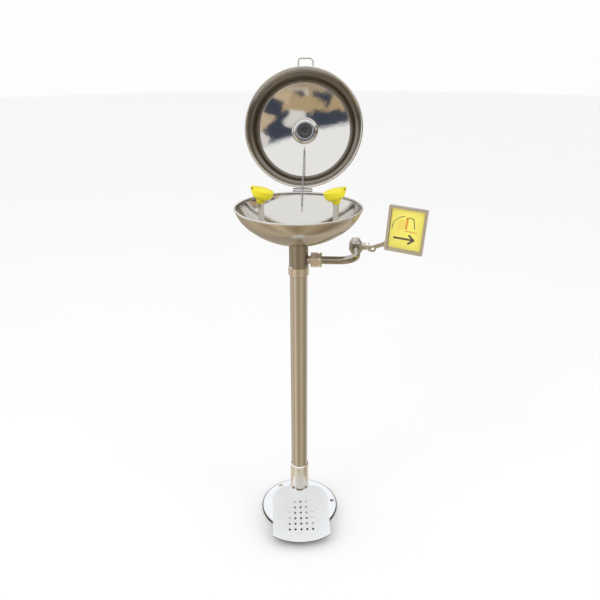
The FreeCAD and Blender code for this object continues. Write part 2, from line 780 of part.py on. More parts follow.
def lid_plug():
    """Dark plug in the middle of the lid, with a screw through the sheet."""
    top = lid_face(sheet)[2].z - 1.0
    disc = cyl(plug_d - 2 * fit_gap, 4, V(0, 0, top - 4))
    dish = Part.makeSphere(30, V(0, 0, top - 4 - 28))
    stud = cyl(6, 6, V(0, 0, top - 4))
    screw = cyl(7, 2.5, V(0, 0, top - 6))
    return opened(join([disc.cut(dish), stud, screw]))


def lid_handle():
    r = rim_r - handle_wire_d / 2 + 2
    z = lid_plane + lid_wall_height / 2 + 2
    half = handle_w / 2 - handle_wire_d / 2
    start_y = -(r - 9)
    left = handle_x - half
    right = handle_x + half
    points = [V(left, start_y, z), V(left, -r - handle_reach, z), V(right, -r - handle_reach, z),
              V(right, start_y, z)]
    wire = sweep(bent_path(points, [handle_corner_r] * 2), handle_wire_d)
    return opened(wire.cut(lid_filled(-fit_gap)))


def knuckles(first):
    """Every second barrel of the hinge."""
    pitch = hinge_leaf_w / knuckle_count
    barrels = []
    for k in range(first, knuckle_count, 2):
        start = -hinge_leaf_w / 2 + k * pitch + body_gap / 2
        at = V(start, hinge_y, hinge_z)
        barrels.append(cyl(hinge_barrel_d, pitch - body_gap, at, X))
    return barrels


def leaf(first, below):
    """A hinge leaf: its barrels, and a plate that reaches the rim's side from above or below the axis."""
    side = -1 if below else 1
    reach = 20.0
    inner = rim_r + fit_gap
    pieces = knuckles(first)
    pitch = hinge_leaf_w / knuckle_count
    for k in range(first, knuckle_count, 2):
        start = -hinge_leaf_w / 2 + k * pitch + body_gap / 2
        z_far = hinge_z + side * 5.5
        low, high = sorted((hinge_z, z_far))
        pieces.append(block(start, start + pitch - body_gap, hinge_y - 4.0, hinge_y - 4.0 + hinge_leaf_thick,
                            low, high))
    low, high = sorted((hinge_z + side * 4.6, hinge_z + side * reach))
    face = hinge_y - 4.0 + hinge_leaf_thick
    pieces.append(block(-hinge_leaf_w / 2, hinge_leaf_w / 2, inner, face, low, high))
    bore = cyl(hinge_pin_d + 2 * run_gap, hinge_leaf_w, V(-hinge_leaf_w / 2, hinge_y, hinge_z), X)
    return join(pieces).cut(bore)


def bowl_leaf():
    filled = cyl(2 * (rim_r + fit_gap), 60, V(0, 0, rim_height - 60))
    return leaf(0, True).cut(filled)


def lid_leaf():
    filled = cyl(2 * (rim_r + fit_gap), 60, V(0, 0, lid_plane - 1))
    return opened(leaf(1, False).cut(filled))


def hinge_pin():
    return cyl(hinge_pin_d, hinge_leaf_w + 3, V(-hinge_leaf_w / 2 - 1.5, hinge_y, hinge_z), X)


def eye_ring(at, axis):
    """A small wire ring standing on its plate."""
    return Part.makeTorus(chain_eye_d / 2 - chain_eye_wire / 2, chain_eye_wire / 2, at, axis)


def lid_eye_closed():
    """Centre of the lid's chain eye with the lid closed: just under the dome."""
    crown = lid_face(sheet)[2]
    edge = lid_outline(sheet)[0][-1]
    radius = (edge.x ** 2 + lid_dome_rise ** 2) / (2 * lid_dome_rise)
    under = crown.z - radius + math.sqrt(radius ** 2 - chain_lid_offset ** 2)
    return V(0, chain_lid_offset, under - chain_eye_d / 2 - chain_eye_stand)


def lid_eye_place():
    return opened(Part.Vertex(lid_eye_closed())).Point


def bowl_wall_y(z):
    """Inside of the bowl's wall at a height."""
    side = bowl_outline()[0]
    return side.x + math.sqrt((bowl_side_r - sheet) ** 2 - (z - side.z) ** 2)


def bowl_eye_place():
    z = rim_height - chain_bowl_drop
    return V(0, bowl_wall_y(z) - chain_eye_d / 2 - chain_eye_stand, z)


def chain_eye_lid():
    at = lid_eye_closed()
    stalk = cyl(3, 12, at + Z * (chain_eye_d / 2 - 1))
    return opened(join([eye_ring(at, X), stalk]).common(lid_filled(sheet + fit_gap)))


def chain_eye_bowl():
    at = bowl_eye_place()
    stalk = cyl(3, 12, at + Y * (chain_eye_d / 2 - 1), Y)
    return join([eye_ring(at, X), stalk]).common(bowl_filled(sheet + fit_gap))


def chain_route():
    """From the lid's eye, over the lid's lower lip and inside the bowl's rim, to the bowl's eye."""
    reach = chain_eye_d / 2 + chain_d / 2 + body_gap
    clear = bead_d / 2 + chain_d / 2 + 2.2
    lid_bead = V(0, rim_r - bead_d / 2, lid_plane + bead_d / 2)
    lip = opened(Part.Vertex(lid_bead)).Point + V(0, -0.35, 1).normalize() * clear
    rim = V(0, rim_r - bead_d / 2 - clear, rim_height - bead_d / 2)
    top = lid_eye_place()
    low = bowl_eye_place()
    top = top + (lip - top).normalize() * reach
    low = low + (rim - low).normalize() * reach
    return [top, lip, rim, low]


def check_chain():
    """The chain's envelope: a plain bar with its two bends."""
    route = chain_route()
    pieces = []
    for a, b in zip(route, route[1:]):
        pieces.append(cyl(chain_d, (b - a).Length, a, (b - a).normalize()))
    for bend in route[1:-1]:
        pieces.append(Part.makeSphere(chain_d / 2, bend))
    return join(pieces)


def hinge_rivets(lid_side):
    """Domed rivet heads on the outside of one hinge leaf."""
    side = 1 if lid_side else -1
    heads = []
    for x in (-15.0, 15.0):
        at = V(x, hinge_y - 4.0 + hinge_leaf_thick, hinge_z + side * 13.0)
        dome = Part.makeSphere(3.4, at - Y * 1.6)
        heads.append(dome.common(cyl(9, 4, at, Y)))
    group = Part.makeCompound(heads)
    return opened(group) if lid_side else group


# ---------------------------------------------------------------- foot pedal
def pedal_frame(shape):
    """Tips a piece drawn flat, with its pin on the X axis, to the pedal's slope and puts it on the pin."""
    out = turned(shape, pedal_slope, V(0, 0, 0), X)
    out.translate(V(0, pedal_pin_y, pedal_pin_z))
    return out


def based(shape):
    return turned(shape, pedal_turn)


def pedal_plate_outline(inset):
    """The pedal seen square to its plate: front arc about the post, straight sides, rounded rear corners."""
    tilt = math.cos(math.radians(pedal_slope))
    front = (pedal_front + pedal_pin_y) / tilt - inset
    half = pedal_w / 2 - inset
    front_r = pedal_front - inset
    centre_y = -front + front_r
    corner_y = centre_y - math.sqrt(front_r ** 2 - half ** 2)
    rear = 6.0 - inset
    r = pedal_corner_r - inset
    x = half - r
    y = rear - r
    diagonal = r * math.sqrt(0.5)
    edges = [arc(V(-half, corner_y, 0), V(0, -front, 0), V(half, corner_y, 0)),
             line(V(half, corner_y, 0), V(half, y, 0)),
             arc(V(half, y, 0), V(x + diagonal, y + diagonal, 0), V(x, rear, 0)),
             line(V(x, rear, 0), V(-x, rear, 0)),
             arc(V(-x, rear, 0), V(-x - diagonal, y + diagonal, 0), V(-half, y, 0)),
             line(V(-half, y, 0), V(-half, corner_y, 0))]
    return Part.Face(Part.Wire(edges))


def pedal():
    top = pedal_lift
    outside = pedal_plate_outline(0).extrude(Z * pedal_skirt)
    outside.translate(Z * (top - pedal_skirt))
    inside = pedal_plate_outline(pedal_thick).extrude(Z * (pedal_skirt - pedal_thick))
    inside.translate(Z * (top - pedal_skirt))
    pan = outside.cut(inside)
    front_clear = block(-pedal_w, pedal_w, -2 * pedal_front, -pedal_front * 0.72, -40, top - pedal_thick - 2)
    rear_half = pedal_w / 2 - pedal_corner_r + 4
    rear_clear = block(-rear_half, rear_half, -pedal_corner_r, 20, -40, top - pedal_thick)
    holes = []
    for row in range(pedal_hole_rows):
        y = -pedal_hole_start - row * pedal_hole_pitch
        for column in range(pedal_hole_columns):
            if column == 0 and row < pedal_short_rows:
                continue
            x = (column - (pedal_hole_columns - 1) / 2) * pedal_hole_pitch
            holes.append(cyl(pedal_hole_d, 3 * pedal_thick, V(x, y, top - 2 * pedal_thick)))
    tabs = []
    inner = pedal_ear_inner + pedal_ear_thick + body_gap
    for side in (1, -1):
        start = inner if side > 0 else -inner - pedal_ear_thick
        tabs.append(block(start, start + pedal_ear_thick, -6, 6, 0, top - 0.5))
        tabs.append(cyl(pedal_ear_d, pedal_ear_thick, V(start, 0, 0), X))
    shaped = join([cut_all(pan, [front_clear, rear_clear])] + tabs)
    pin_way = cyl(pedal_pin_d + 2 * run_gap, pedal_w, V(-pedal_w / 2, 0, 0), X)
    shaped = pedal_frame(cut_all(shaped, holes + [pin_way]))
    notch = cyl(2 * pedal_notch_r, 2 * fitting_top, V(0, 0, -10))
    return based(shaped.cut(notch))


def pedal_bracket():
    """Strap round the back of the post with an ear each side that carries the pedal's pin."""
    low = pedal_pin_z - 14
    high = fitting_bottom - 0.5
    outer = pedal_ear_inner + pedal_ear_thick
    band = tube(2 * outer, post_d + 2 * fit_gap, high - low, V(0, 0, low))
    band = band.cut(block(-60, 60, -60, 0, 0, 200))
    ears = []
    for side in (1, -1):
        start = pedal_ear_inner if side > 0 else -outer
        ears.append(block(start, start + pedal_ear_thick, pedal_pin_y, 0, low, high))
        ears.append(cyl(pedal_ear_d, pedal_ear_thick, V(start, pedal_pin_y, pedal_pin_z), X))
    solid = join([band] + ears)
    pin_way = cyl(pedal_pin_d, 80, V(-40, pedal_pin_y, pedal_pin_z), X)
    return based(solid.cut(pin_way))


def pedal_pins():
    """A headed stub pin in each ear."""
    pins = []
    inner = pedal_ear_inner - 2.0
    outer = pedal_ear_inner + 2 * pedal_ear_thick + body_gap
    for side in (1, -1):
        length = outer + 0.5 - inner
        start = V(side * inner, pedal_pin_y, pedal_pin_z)
        pins.append(cyl(pedal_pin_d, length, start, X * side))
        pins[-1] = join([pins[-1], cyl(pedal_pin_d + 4, 2.0, start + X * (side * length), X * side)])
    return based(Part.makeCompound(pins))


# ---------------------------------------------------------------- foot valve
def foot_screw_places():
    """Axes of the two screws, in the lug in front of the foot valve."""
    y = foot_y - foot_size / 2 - foot_lug_reach / 2 - 1
    return [V(-foot_screw_x, y, 0), V(foot_screw_x, y, 0)]


def foot_valve_body():
    half = foot_size / 2
    body = block(-half, half, foot_y - half, foot_y + half, base_thick, base_thick + foot_height)
    upright = [e for e in body.Edges if abs(e.BoundBox.ZLength - foot_height) < 0.1]
    body = body.makeFillet(5, upright)
    lug = block(-half, half, foot_y - half - foot_lug_reach, foot_y, base_thick, base_thick + foot_lug_thick)
    boss = cyl(foot_boss_d, 20, V(-half - 8, foot_y, foot_port_z), X)
    inlet = cyl(inlet_bore_d, inlet_depth, V(-half - 8, foot_y, foot_port_z), X)
    way = cyl(foot_port_d - 3, half + 8, V(-half - 8, foot_y, foot_port_z), X)
    port = cyl(foot_port_d + 2 * fit_gap, 8, V(0, foot_y + half - 8, foot_port_z), Y)
    port_way = cyl(foot_port_d - 3, half, V(0, foot_y, foot_port_z), Y)
    plunger_way = cyl(plunger_d + 2 * run_gap, foot_height, V(0, foot_y, base_thick + foot_floor))
    screws = [cyl(screw_d, base_thick + foot_lug_thick, at) for at in foot_screw_places()]
    return based(cut_all(join([body, lug, boss]), [inlet, way, port, port_way, plunger_way] + screws))


def foot_screws():
    pieces = []
    for at in foot_screw_places():
        shank = cyl(screw_d - 2 * fit_gap, foot_lug_thick, at + Z * (base_thick + fit_gap))
        pieces.append(join([shank, cyl(screw_head_d, 3, at + Z * (base_thick + foot_lug_thick))]))
    return based(Part.makeCompound(pieces))


def foot_outlet():
    start = foot_y + foot_size / 2 - 8 + fit_gap
    end = -riser_d / 2 - fit_gap
    return based(tube(foot_port_d, foot_port_d - 2 * riser_wall, end - start, V(0, start, foot_port_z), Y))


def plate_underside(y):
    """Height of the underside of the pedal's plate above a point in front of the post."""
    slope = math.radians(pedal_slope)
    return (pedal_pin_z + (pedal_lift - pedal_thick) / math.cos(slope)
            - (pedal_pin_y - y) * math.tan(slope))


def plunger_top():
    """Centre of the plunger's domed head, a running gap below the pedal."""
    r = plunger_head_d / 2
    return plate_underside(foot_y) - (r + body_gap) / math.cos(math.radians(pedal_slope))


def plunger():
    centre = plunger_top()
    head = Part.makeSphere(plunger_head_d / 2, V(0, foot_y, centre))
    low = centre - plunger_head_thick
    head = head.common(cyl(plunger_head_d, 30, V(0, foot_y, low)))
    rod_low = base_thick + foot_floor + plunger_travel + 1
    return based(join([head, cyl(plunger_d, centre - rod_low, V(0, foot_y, rod_low))]))


def plunger_spring():
    low = base_thick + foot_height + spring_wire / 2 + 0.1
    high = plunger_top() - plunger_head_thick - spring_wire / 2 - 0.1
    pitch = (high - low) / spring_turns
    helix = Part.makeHelix(pitch, high - low, spring_d / 2)
    profile = Part.Wire([Part.makeCircle(spring_wire / 2, V(spring_d / 2, 0, 0), Y)])
    coil = Part.Wire(helix.Edges).makePipeShell([profile], True, True)
    coil.translate(V(0, foot_y, low))
    return based(coil)


# ---------------------------------------------------------------- build and write
nozzle = right_nozzle()
insert = right_insert()
cap = right_cap()
cap_pin = right_cap_pin()

parts = {
    "base_flange": base_flange(),
    "post": post(),
    "lower_fitting": lower_fitting(),
    "upper_collar": upper_collar(),
    "upper_tee": upper_tee(),
    "water_manifold": manifold(),
    "riser_tube": riser_tube(),
    "union_nut": union_nut(),
    "union_gasket": union_gasket(),
    "side_pipe": side_pipe(),
    "valve_body": valve_body(),
    "valve_end_cap": valve_end_cap(),
    "ball_seats": ball_seats(),
    "valve_ball": valve_ball(),
    "valve_stem": valve_stem(),
    "stem_packing_nut": stem_nut(),
    "handle_lever": lever(),
    "lever_nut": lever_nut(),
    "push_plate": push_plate(),
    "push_label": push_label(),
    "plate_rivets": plate_rivets(),
    "bowl": bowl_dish(),
    "bowl_wall": bowl_wall(),
    "drain_gasket": drain_gasket(),
    "drain_strainer": drain_strainer(),
    "nozzle_yoke": yoke(),
    "nozzle_left": mirrored(nozzle),
    "nozzle_right": nozzle,
    "spray_head_left": mirrored(insert),
    "spray_head_right": insert,
    "dust_cap_left": mirrored(cap),
    "dust_cap_right": cap,
    "cap_pins": Part.makeCompound([mirrored(cap_pin), cap_pin]),
    "lid": opened(lid_closed()),
    "lid_plug": lid_plug(),
    "lid_handle": lid_handle(),
    "hinge_leaf_bowl": bowl_leaf(),
    "hinge_leaf_lid": lid_leaf(),
    "hinge_pin": hinge_pin(),
    "hinge_rivets_bowl": hinge_rivets(False),
    "hinge_rivets_lid": hinge_rivets(True),
    "chain_eye_lid": chain_eye_lid(),
    "chain_eye_bowl": chain_eye_bowl(),
    "check_chain": check_chain(),
    "foot_pedal": pedal(),
    "pedal_bracket": pedal_bracket(),
    "pedal_pins": pedal_pins(),
    "foot_valve_body": foot_valve_body(),
    "foot_valve_screws": foot_screws(),
    "foot_valve_outlet": foot_outlet(),
    "plunger": plunger(),
    "plunger_spring": plunger_spring(),
}

os.makedirs("parts", exist_ok=True)
for name, shape in parts.items():
    state = "valid" if shape.isValid() else "NOT VALID"
    print(name, len(shape.Solids), "solids", round(shape.Volume / 1000, 2), "cm3", state)
    shape.exportStep("parts/" + name + ".step")
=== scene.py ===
import bpy
import bmesh
import math
from mathutils import Matrix, Vector

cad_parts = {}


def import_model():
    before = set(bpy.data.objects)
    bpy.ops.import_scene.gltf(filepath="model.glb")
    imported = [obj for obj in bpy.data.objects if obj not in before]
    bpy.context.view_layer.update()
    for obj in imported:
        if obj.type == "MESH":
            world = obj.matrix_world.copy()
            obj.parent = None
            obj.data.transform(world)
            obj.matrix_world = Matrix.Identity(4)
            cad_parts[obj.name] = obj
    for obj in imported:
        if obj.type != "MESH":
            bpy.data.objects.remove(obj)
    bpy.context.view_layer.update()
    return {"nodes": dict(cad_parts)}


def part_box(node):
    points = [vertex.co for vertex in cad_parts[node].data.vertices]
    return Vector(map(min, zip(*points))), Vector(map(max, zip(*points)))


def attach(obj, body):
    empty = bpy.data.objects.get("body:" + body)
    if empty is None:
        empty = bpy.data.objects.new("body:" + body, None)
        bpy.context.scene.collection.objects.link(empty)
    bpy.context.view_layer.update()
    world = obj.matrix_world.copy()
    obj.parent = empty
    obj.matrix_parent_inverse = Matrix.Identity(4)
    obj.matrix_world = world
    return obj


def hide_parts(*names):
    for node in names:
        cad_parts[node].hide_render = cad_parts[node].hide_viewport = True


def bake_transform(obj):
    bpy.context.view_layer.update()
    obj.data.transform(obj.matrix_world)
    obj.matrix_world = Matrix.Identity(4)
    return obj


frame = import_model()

# Pedestal eye and face wash: camera, light, materials and the detailed pieces.
# Metres, in the CAD frame: origin on the floor under the post, +Z up, -Y towards the user.

NODES = frame["nodes"]
MM = 0.001
SHEET = 1.4 * MM            # stainless sheet of the bowl and the lid
BEAD = 5.0 * MM             # rolled rim


# ---------------------------------------------------------------- node helpers
class Tree:
    """A small wrapper that adds and links shader nodes."""

    def __init__(self, tree):
        self.tree = tree

    def add(self, kind):
        return self.tree.nodes.new(kind)

    def link(self, a, b):
        self.tree.links.new(a, b)

    def ramp(self, source, stops):
        node = self.add("ShaderNodeValToRGB")
        band = node.color_ramp
        while len(band.elements) < len(stops):
            band.elements.new(0.5)
        for element, (place, colour) in zip(band.elements, stops):
            element.position = place
            element.color = colour if len(colour) == 4 else (*colour, 1)
        self.link(source, node.inputs["Fac"])
        return node.outputs["Color"]

    def span(self, source, low, high):
        """Maps 0..1 to low..high."""
        node = self.add("ShaderNodeMapRange")
        node.inputs["To Min"].default_value = low
        node.inputs["To Max"].default_value = high
        self.link(source, node.inputs["Value"])
        return node.outputs["Result"]

    def noise(self, coords, scale, detail=3.0, rough=0.55, stretch=(1, 1, 1)):
        squeeze = self.add("ShaderNodeMapping")
        squeeze.inputs["Scale"].default_value = stretch
        self.link(coords, squeeze.inputs["Vector"])
        node = self.add("ShaderNodeTexNoise")
        node.inputs["Scale"].default_value = scale
        node.inputs["Detail"].default_value = detail
        node.inputs["Roughness"].default_value = rough
        self.link(squeeze.outputs["Vector"], node.inputs["Vector"])
        return node.outputs["Fac"]

    def mix(self, factor, a, b):
        node = self.add("ShaderNodeMix")
        node.data_type = "RGBA"
        self.link(factor, node.inputs["Factor"])
        for socket, value in ((node.inputs[6], a), (node.inputs[7], b)):
            if isinstance(value, tuple):
                socket.default_value = (*value, 1)
            else:
                self.link(value, socket)
        return node.outputs[2]

    def maths(self, operation, a, b):
        node = self.add("ShaderNodeMath")
        node.operation = operation
        for socket, value in zip(node.inputs, (a, b)):
            if isinstance(value, (int, float)):
                socket.default_value = value
            else:
                self.link(value, socket)
        return node.outputs[0]

    def bump(self, height, strength, distance, normal=None):
        node = self.add("ShaderNodeBump")
        node.inputs["Strength"].default_value = strength
        node.inputs["Distance"].default_value = distance
        self.link(height, node.inputs["Height"])
        if normal is not None:
            self.link(normal, node.inputs["Normal"])
        return node.outputs["Normal"]


def material(name):
    """A new material with its Principled shader and object coordinates."""
    mat = bpy.data.materials.new(name)
    mat.use_nodes = True
    tree = Tree(mat.node_tree)
    shader = mat.node_tree.nodes["Principled BSDF"]
    coords = tree.add("ShaderNodeTexCoord").outputs["Object"]
    return mat, tree, shader, coords


def spun_coords(tree, coords, turn):
    """Coordinates for a spun sheet: distance from the axis and height, nearly the same all the way round."""
    if turn is not None:
        place = tree.add("ShaderNodeMapping")
        place.inputs["Rotation"].default_value = turn.to_euler("XYZ")
        place.inputs["Location"].default_value = turn.translation
        tree.link(coords, place.inputs["Vector"])
        coords = place.outputs["Vector"]
    parts = tree.add("ShaderNodeSeparateXYZ")
    tree.link(coords, parts.inputs[0])
    x2 = tree.maths("MULTIPLY", parts.outputs[0], parts.outputs[0])
    y2 = tree.maths("MULTIPLY", parts.outputs[1], parts.outputs[1])
    radius = tree.maths("SQRT", tree.maths("ADD", x2, y2), 0.0)
    angle = tree.maths("ARCTAN2", parts.outputs[1], parts.outputs[0])
    join = tree.add("ShaderNodeCombineXYZ")
    tree.link(radius, join.inputs[0])
    tree.link(tree.maths("MULTIPLY", angle, 0.004), join.inputs[1])
    tree.link(parts.outputs[2], join.inputs[2])
    return join.outputs[0], coords


def steel(name, tone, dark, rough=(0.2, 0.34), grain=(1, 1, 0.03), grain_scale=900, grain_depth=0.00004,
          turn=None, spun=False, wave=0.0, smudge_scale=14.0, contrast=0.5, metallic=1.0):
    """Stainless steel: a fine grain along one way, slow tonal drift, and smudges in the gloss."""
    mat, tree, shader, coords = material(name)
    fine = coords
    if spun:
        fine, coords = spun_coords(tree, coords, turn)
        grain = (1, 1, 1)
    lines = tree.noise(fine, grain_scale, 2.0, 0.6, grain)
    drift = tree.noise(coords, smudge_scale, 4.0, 0.6)
    cloud = tree.noise(coords, smudge_scale * 4.5, 5.0, 0.65)
    low = 0.5 - contrast / 2
    shade = tree.ramp(tree.maths("MULTIPLY_ADD", lines, 0.35), [(low, dark), (1 - low, tone)])
    blend = tree.mix(tree.span(drift, 0.0, 1.0), shade, tone)
    tree.link(blend, shader.inputs["Base Color"])
    gloss = tree.maths("ADD", tree.maths("MULTIPLY", cloud, 0.6), tree.maths("MULTIPLY", lines, 0.4))
    tree.link(tree.span(gloss, rough[0], rough[1]), shader.inputs["Roughness"])
    shader.inputs["Metallic"].default_value = metallic
    normal = tree.bump(lines, 0.5, grain_depth)
    if wave:
        normal = tree.bump(drift, 0.6, wave, normal)
    tree.link(normal, shader.inputs["Normal"])
    return mat


def plastic(name, light, deep, rough=(0.25, 0.4)):
    """Moulded plastic with faint flow clouds, a slight orange peel and scuffs."""
    mat, tree, shader, coords = material(name)
    cloud = tree.noise(coords, 40.0, 3.0)
    peel = tree.noise(coords, 900.0, 2.0)
    tree.link(tree.mix(tree.span(cloud, 0.0, 1.0), light, deep), shader.inputs["Base Color"])
    tree.link(tree.span(tree.noise(coords, 160.0, 4.0), rough[0], rough[1]), shader.inputs["Roughness"])
    tree.link(tree.bump(peel, 0.25, 0.00006), shader.inputs["Normal"])
    shader.inputs["Subsurface Weight"].default_value = 0.08
    shader.inputs["Subsurface Radius"].default_value = (0.004, 0.003, 0.001)
    return mat


def rubber(name, tone):
    mat, tree, shader, coords = material(name)
    cloud = tree.noise(coords, 200.0, 4.0)
    tree.link(tree.mix(cloud, tone, tuple(1.8 * v for v in tone)), shader.inputs["Base Color"])
    tree.link(tree.span(cloud, 0.6, 0.8), shader.inputs["Roughness"])
    tree.link(tree.bump(cloud, 0.3, 0.0001), shader.inputs["Normal"])
    return mat


# ---------------------------------------------------------------- mesh helpers
def new_object(name, mesh_data, body, *nodes, slot=None, materials=()):
    """Adds a mesh as a piece that rides on a body and stands for the named CAD nodes."""
    piece = bpy.data.objects.new(name, mesh_data)
    bpy.context.scene.collection.objects.link(piece)
    for mat in materials:
        mesh_data.materials.append(mat)
    if body:
        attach(piece, body)
    if nodes:
        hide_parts(*nodes)
    return piece


def finish_mesh(name, bm, smooth=True, crease=35.0):
    bmesh.ops.recalc_face_normals(bm, faces=bm.faces[:])
    mesh_data = bpy.data.meshes.new(name)
    bm.to_mesh(mesh_data)
    bm.free()
    if smooth:
        mesh_data.shade_smooth()
        mesh_data.set_sharp_from_angle(angle=math.radians(crease))
    return mesh_data


def spin_profile(bm, profile, steps=192, place=None, slots=None):
    """Turns a closed (r, z) profile about Z, with poles where r is zero. Returns the new faces."""
    rings = []
    for radius, height in profile:
        if radius < 1e-7:
            rings.append([bm.verts.new((0.0, 0.0, height))])
            continue
        ring = []
        for i in range(steps):
            a = 2 * math.pi * i / steps
            ring.append(bm.verts.new((radius * math.cos(a), radius * math.sin(a), height)))
        rings.append(ring)
    faces = []
    for k, ring in enumerate(rings):
        after = rings[(k + 1) % len(rings)]
        if len(ring) == 1 and len(after) == 1:
            continue
        for i in range(steps):
            j = (i + 1) % steps
            if len(ring) == 1:
                corners = [ring[0], after[i], after[j]]
            elif len(after) == 1:
                corners = [ring[i], ring[j], after[0]]
            else:
                corners = [ring[i], ring[j], after[j], after[i]]
            face = bm.faces.new(corners)
            face.smooth = True
            if slots:
                face.material_index = slots[k]
            faces.append(face)
    if place is not None:
        for ring in rings:
            for vert in ring:
                vert.co = place @ vert.co
    return faces


def arc(centre, radius, start, stop, count):
    """Points along an arc in the (r, z) plane, angles in degrees."""
    out = []
    for i in range(count):
        a = math.radians(start + (stop - start) * i / (count - 1))
        out.append((centre[0] + radius * math.cos(a), centre[1] + radius * math.sin(a)))
    return out


def tube(bm, points, radius, sides=16, closed=False, caps=True):
    """A round tube along 3-D points, carried by parallel frames."""
    count = len(points)
    tangents = []
    for i in range(count):
        if closed:
            ahead, behind = points[(i + 1) % count], points[i - 1]
        else:
            ahead, behind = points[min(i + 1, count - 1)], points[max(i - 1, 0)]
        tangents.append((ahead - behind).normalized())
    side = tangents[0].orthogonal().normalized()
    rings = []
    for point, tangent in zip(points, tangents):
        side = (side - tangent * side.dot(tangent)).normalized()
        other = tangent.cross(side)
        ring = []
        for k in range(sides):
            a = 2 * math.pi * k / sides
            ring.append(bm.verts.new(point + radius * (math.cos(a) * side + math.sin(a) * other)))
        rings.append(ring)
    for i in range(count if closed else count - 1):
        a_ring, b_ring = rings[i], rings[(i + 1) % count]
        for k in range(sides):
            n = (k + 1) % sides
            bm.faces.new([a_ring[k], a_ring[n], b_ring[n], b_ring[k]])
    if caps and not closed:
        bm.faces.new(list(reversed(rings[0])))
        bm.faces.new(rings[-1])


# ---------------------------------------------------------------- materials
LID_OPEN = math.radians(105)
HINGE = Vector((0, 0.1545, 0.8633))
OPENED = Matrix.Translation(HINGE) @ Matrix.Rotation(-LID_OPEN, 4, "X") @ Matrix.Translation(-HINGE)
CLOSED = OPENED.inverted()

def paint_edge_reflection(mat, start, stop, tone):
    """Paints a dark ring into the colour of a round piece centred on the post between two radii: a painted
    dark reflection of its rounded edge.
    """
    tree = Tree(mat.node_tree)
    shader = mat.node_tree.nodes["Principled BSDF"]
    parts = tree.add("ShaderNodeSeparateXYZ")
    tree.link(tree.add("ShaderNodeTexCoord").outputs["Object"], parts.inputs[0])
    x2 = tree.maths("MULTIPLY", parts.outputs[0], parts.outputs[0])
    y2 = tree.maths("MULTIPLY", parts.outputs[1], parts.outputs[1])
    radius = tree.maths("SQRT", tree.maths("ADD", x2, y2), 0.0)
    ring = tree.add("ShaderNodeMapRange")
    ring.inputs["From Min"].default_value = start
    ring.inputs["From Max"].default_value = stop
    tree.link(radius, ring.inputs["Value"])
    source = shader.inputs["Base Color"].links[0].from_socket
    tree.link(tree.mix(ring.outputs["Result"], source, tone), shader.inputs["Base Color"])


def paint_underside_shade(mat, tone):
    """Paints shade into the colour of the faces that look down: a near-black tone that stands for the shade
    under the pedal, so its holes look dark.
    """
    tree = Tree(mat.node_tree)
    shader = mat.node_tree.nodes["Principled BSDF"]
    facing = tree.add("ShaderNodeSeparateXYZ")
    tree.link(tree.add("ShaderNodeTexCoord").outputs["Normal"], facing.inputs[0])
    upward = tree.maths("MULTIPLY_ADD", facing.outputs[2], 0.5)
    underside_shade_mask = tree.ramp(upward, [(0.0, (1, 1, 1)), (0.45, (1, 1, 1)), (0.60, (0, 0, 0))])
    source = shader.inputs["Base Color"].links[0].from_socket
    tree.link(tree.mix(underside_shade_mask, source, tone), shader.inputs["Base Color"])


